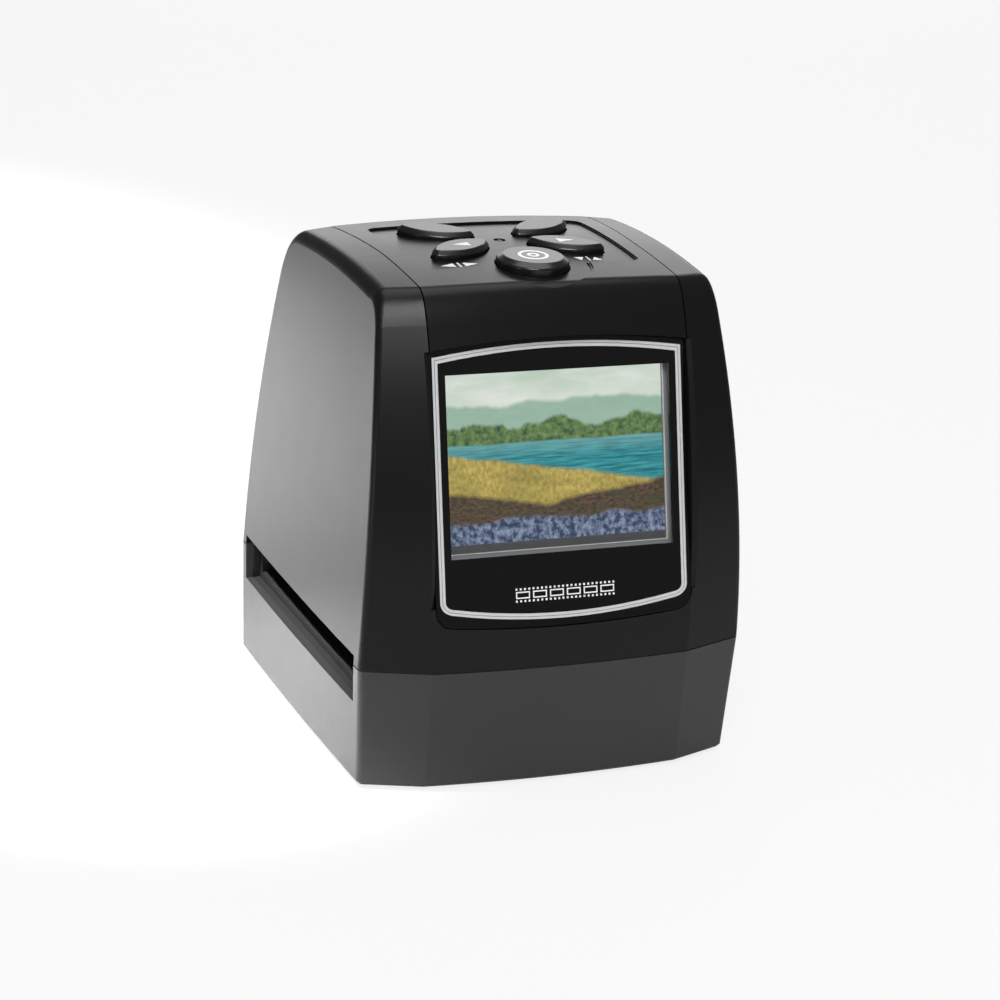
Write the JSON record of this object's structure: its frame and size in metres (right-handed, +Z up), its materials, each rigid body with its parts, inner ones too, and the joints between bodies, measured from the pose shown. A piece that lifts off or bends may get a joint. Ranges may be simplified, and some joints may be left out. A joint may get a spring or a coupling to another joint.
{
  "type": "film scanner",
  "caption": "Boxy desktop scanner for film strips and slides, with a side-to-side film slot, a tilted front screen and buttons on the top cover.",
  "frame": {"origin": "centre of the footprint on the surface that the rubber feet stand on", "axes": "+X to the right of the screen and along the film slot, +Y to the back with the sockets, +Z up"},
  "size_m": [0.0872, 0.0852, 0.1057],
  "materials": {
    "shell_lower": "satin dark grey plastic",
    "shell_upper": "semi-gloss black plastic",
    "bezel": "gloss black with a printed silver line",
    "pane": "clear",
    "screen": "lit liquid-crystal panel",
    "button_black": "gloss",
    "track_black": "matte, so that it reflects no light",
    "board_green": "solder resist",
    "chip_black": "moulded",
    "lamp_white": "moulded",
    "steel": "plated",
    "brass": "turned",
    "lens": "coated",
    "diffuser": "opal",
    "ribbon": "polyester film",
    "light_green": "tinted lens",
    "feet_rubber": "moulded",
    "carrier_grey": "moulded"
  },
  "bodies": {
    "scanner": {"base_shell": "shell_lower", "upper_housing": "shell_upper", "top_cover": "shell_upper", "screen_bezel": "bezel", "window_pane": "pane", "screen_panel": "screen", "film_track_lower": "track_black", "film_track_upper": "track_black", "data_socket": "steel", "picture_socket": "chip_black", "card_socket": "steel", "indicator_light": "light_green", "rubber_feet": "feet_rubber", "base_screws": "steel", "backlight_board": "board_green", "backlight_lamps": "lamp_white", "backlight_screws": "steel", "board_chips": "chip_black", "button_board": "board_green", "button_board_screws": "steel", "button_ribbon": "ribbon", "camera_tower": "track_black", "detent_cap": "brass", "detent_spring": "steel", "image_sensor": "chip_black", "lens_barrel": "track_black", "lens_glass": "lens", "light_box": "diffuser", "light_diffuser": "diffuser", "light_ribbon": "ribbon", "main_board": "board_green", "main_board_screws": "steel", "screen_carrier": "carrier_grey", "screen_ribbon": "ribbon", "screen_screws": "steel", "sensor_board": "board_green", "sensor_ribbon": "ribbon", "sensor_screws": "steel", "switches": "chip_black", "tower_screws": "steel"},
    "scan_press": {"scan_button": "button_black", "scan_plunger": "button_black"},
    "mirror_press": {"mirror_button": "button_black", "mirror_plunger": "button_black"},
    "flip_press": {"flip_button": "button_black", "flip_plunger": "button_black"},
    "power_press": {"power_button": "button_black", "power_plunger": "button_black"},
    "mode_press": {"mode_button": "button_black", "mode_plunger": "button_black"},
    "detent": {"detent_pin": "steel"}
  },
  "joints": [
    {"name": "scan_travel", "type": "slide", "parent": "scanner", "child": "scan_press", "axis": [0, 0, -1], "range_m": [0, 0.0006], "stiffness_N_per_m": 1500},
    {"name": "mirror_travel", "type": "slide", "parent": "scanner", "child": "mirror_press", "axis": [0, 0, -1], "range_m": [0, 0.0006], "stiffness_N_per_m": 1500},
    {"name": "flip_travel", "type": "slide", "parent": "scanner", "child": "flip_press", "axis": [0, 0, -1], "range_m": [0, 0.0006], "stiffness_N_per_m": 1500},
    {"name": "power_travel", "type": "slide", "parent": "scanner", "child": "power_press", "axis": [0, 0, -1], "range_m": [0, 0.0006], "stiffness_N_per_m": 1500},
    {"name": "mode_travel", "type": "slide", "parent": "scanner", "child": "mode_press", "axis": [0, 0, -1], "range_m": [0, 0.0006], "stiffness_N_per_m": 1500},
    {"name": "detent_travel", "type": "slide", "parent": "scanner", "child": "detent", "axis": [0, 0, -1], "range_m": [0, 0.001], "stiffness_N_per_m": 800, "springref_m": -0.0005, "deforming": ["detent_spring"]}
  ]
}
